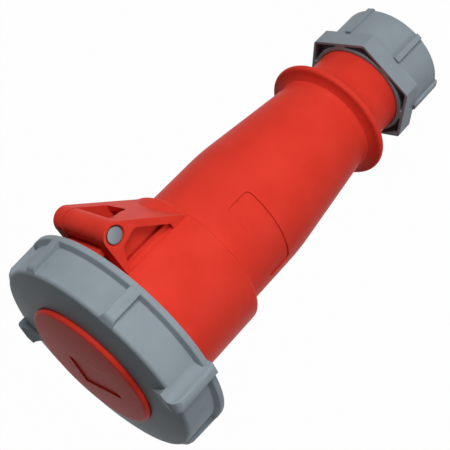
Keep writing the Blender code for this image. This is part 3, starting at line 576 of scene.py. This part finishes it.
for turn in ring["cams"]:
    join(ringPiece, sectorPiece("cam", ring["camRadius"], ring["root"],
                                ring["camTop"] - ring["camHeight"], ring["camTop"], turn,
                                ring["camSpread"]))
dress(ringPiece, "ring", greyPlastic, "grey_plastic", "bayonet_ring")
print("bayonet ring ready")


# Gland nut: round body with ribs, hexagon with six pockets open to the top
nut = {
    "radius": 29.6, "bodyTop": 22.0, "endRound": 1.2, "entry": 16.8, "entryRound": 1.0,
    "bore": 25.35, "endWall": 4.5, "boreSides": 192,
    "hexLow": 21.0, "top": 31.0, "acrossFlats": 59.5, "hexRound": 1.2, "firstFlat": 30.0,
    "skirt": 1.5, "pocketLow": 25.0, "pocketRound": 0.8, "sleeve": 27.35, "sleeveBlank": 24.0,
    "webWidth": 6.0,
    "ribWidth": 3.2, "ribHeight": 1.6, "ribSink": 1.5, "ribNose": 1.0, "ribRound": 0.5,
}
nutPiece = turnedPiece("glandNut", [
    (nut["radius"], nut["bodyTop"]), (nut["radius"], 0.0, nut["endRound"]),
    (nut["entry"], 0.0, nut["entryRound"]), (nut["entry"], nut["bodyTop"]),
])
flatShare = math.cos(math.radians(30))   # a hexagon's flat stands at this share of its corner
corner = nut["acrossFlats"] / 2 / flatShare
ribFlats = [nut["firstFlat"] + 60.0 * i for i in range(6)]


# a flat hexagon prism, turned so that its flats stand at the nut's ribs
def hexPiece(name, reach, low, high, rounding):
    outline = [(*point, rounding) for point in arcPoints((0, 0), reach, 0, 300, 5)]
    return flatPiece(name, outline, raisedTo(low), high - low)


join(nutPiece, hexPiece("nutHexagon", corner, nut["hexLow"], nut["top"], nut["hexRound"]))
pockets = hexPiece("hexPockets", corner - nut["skirt"] / flatShare, nut["pocketLow"],
                   nut["top"] + spare, nut["pocketRound"])
cut(pockets, rodPiece("hexSleeve", nut["sleeve"], nut["sleeveBlank"], raisedTo(nut["top"]),
                      nut["boreSides"]))
ribTip, ribRoot = nut["radius"] + nut["ribHeight"], nut["radius"] - nut["ribSink"]
for turn in ribFlats:
    cut(pockets, blockPiece("hexWeb",
                            (nut["bore"], -nut["webWidth"] / 2, nut["pocketLow"] - spare),
                            (corner, nut["webWidth"] / 2, nut["top"] + 2 * spare), turn))
    join(nutPiece, ribPiece("nutRib", [
        (ribRoot, nut["bodyTop"]), (ribRoot, 0.0), (ribTip - nut["ribNose"], 0.0, nut["ribRound"]),
        (ribTip, nut["ribNose"], nut["ribRound"]), (ribTip, nut["bodyTop"]),
    ], nut["ribWidth"], turn))
boreHeight = nut["top"] + spare - nut["endWall"]
cut(nutPiece, rodPiece("nutBore", nut["bore"], boreHeight,
                       raisedTo(nut["endWall"] + boreHeight / 2), nut["boreSides"]))
cut(nutPiece, pockets)
dress(nutPiece, "nut", greyPlastic, "grey_plastic", "gland_nut")
print("gland nut ready")


# The CAD solids that stay keep their shape and get their finish here
keptFinish = {
    "contact_insert": darkPlastic, "contact_face": darkPlastic, "contact_retainer": darkPlastic,
    "gland_claw": greyPlastic, "gland_seal": sealRubber, "housing_gasket": sealRubber,
    "lid_gasket": sealRubber, "contact_pilot": contactBrass,
}
for pole in ("l1", "l2", "l3", "neutral", "earth"):
    keptFinish["contact_" + pole] = contactBrass
    keptFinish["terminal_screw_" + pole] = platedSteel
for node, finish in keptFinish.items():
    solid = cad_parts[node]
    solid.data.materials.clear()
    solid.data.materials.append(finish)
print("kept solids finished")


# Studio: pale floor, soft lamps, the photograph's viewpoint. Places and sizes are in metres
studio = {
    "cameraPlace": (0.38048, 0.29824, 0.35806), "lookAt": (-0.0004, 0.0005, 0.1422),
    "cameraRoll": -136.176, "lens": 85.66, "sensor": 36.0, "viewEnd": 60.0,
    "floorSize": 12.0, "floorColour": "#F4F4F4", "floorRoughness": 0.9, "floorGlow": 0.985,
    "worldLevel": 0.10, "lampAim": (0.0, 0.0, 0.14),
}
lamps = {
    "keySoftbox": {"place": (0.50, 0.84, 0.15), "size": (0.5, 0.26), "watts": 7.2},
    "sideSoftbox": {"place": (0.93, -0.26, 0.15), "size": (0.26, 0.26), "watts": 2.4},
}
pureWhite = linearColour("#FFFFFF")
cameraData = bpy.data.cameras.new("camera")
cameraData.lens = studio["lens"]
cameraData.sensor_width = studio["sensor"]
cameraData.clip_end = studio["viewEnd"]
camera = bpy.data.objects.new("camera", cameraData)
camera.location = studio["cameraPlace"]
gaze = Vector(studio["lookAt"]) - Vector(studio["cameraPlace"])
roll = Quaternion((0, 0, 1), math.radians(studio["cameraRoll"]))
camera.rotation_euler = (gaze.to_track_quat("-Z", "Y") @ roll).to_euler()
bpy.context.scene.collection.objects.link(camera)
bpy.context.scene.camera = camera


# how far a ray sees the white background instead of the lit surface
def backgroundShare(tree, amount):
    ray = addNode(tree, "ShaderNodeLightPath")
    direct = addNode(tree, "ShaderNodeMath", None,
                     {0: ray.outputs["Is Camera Ray"], 1: ray.outputs["Is Glossy Ray"]},
                     operation="MAXIMUM")
    seen = addNode(tree, "ShaderNodeMath", None,
                   {0: direct.outputs["Value"], 1: ray.outputs["Is Transmission Ray"]},
                   operation="MAXIMUM")
    share = addNode(tree, "ShaderNodeMath", {1: amount}, {0: seen.outputs["Value"]},
                    operation="MULTIPLY")
    return share.outputs["Value"]


# Painted floor: matt and pale under the lamps, and seen almost white
bm = bmesh.new()
bmesh.ops.create_grid(bm, x_segments=1, y_segments=1, size=studio["floorSize"] / 2)
floorPiece = newPiece("floor", bm)
floorMaterial = bpy.data.materials.new("paintedFloor")
floorMaterial.use_nodes = True
tree = floorMaterial.node_tree
shader = tree.nodes["Principled BSDF"]
shader.inputs["Roughness"].default_value = studio["floorRoughness"]
shader.inputs["Base Color"].default_value = linearColour(studio["floorColour"])
glow = addNode(tree, "ShaderNodeEmission", {"Strength": 1.0})
floorMix = addNode(tree, "ShaderNodeMixShader", None,
                   {"Fac": backgroundShare(tree, studio["floorGlow"]),
                    1: shader.outputs["BSDF"], 2: glow.outputs["Emission"]})
tree.links.new(floorMix.outputs["Shader"], tree.nodes["Material Output"].inputs["Surface"])
floorPiece.data.materials.append(floorMaterial)

world = bpy.data.worlds.new("studioWorld")
bpy.context.scene.world = world
world.use_nodes = True
tree = world.node_tree
ambient = tree.nodes["Background"]
ambient.inputs["Strength"].default_value = studio["worldLevel"]
ambient.inputs["Color"].default_value = pureWhite
backdrop = addNode(tree, "ShaderNodeBackground", {"Strength": 1.0, "Color": pureWhite})
worldMix = addNode(tree, "ShaderNodeMixShader", None,
                   {"Fac": backgroundShare(tree, 1.0), 1: ambient.outputs["Background"],
                    2: backdrop.outputs["Background"]})
tree.links.new(worldMix.outputs["Shader"], tree.nodes["World Output"].inputs["Surface"])

for name, lamp in lamps.items():
    data = bpy.data.lights.new(name, "AREA")
    data.shape = "RECTANGLE"
    data.size, data.size_y = lamp["size"]
    data.energy = lamp["watts"]
    light = bpy.data.objects.new(name, data)
    light.location = lamp["place"]
    aim = Vector(studio["lampAim"]) - light.location
    light.rotation_euler = aim.to_track_quat("-Z", "Y").to_euler()
    bpy.context.scene.collection.objects.link(light)
bpy.context.scene.view_settings.view_transform = "Standard"
print("studio ready")
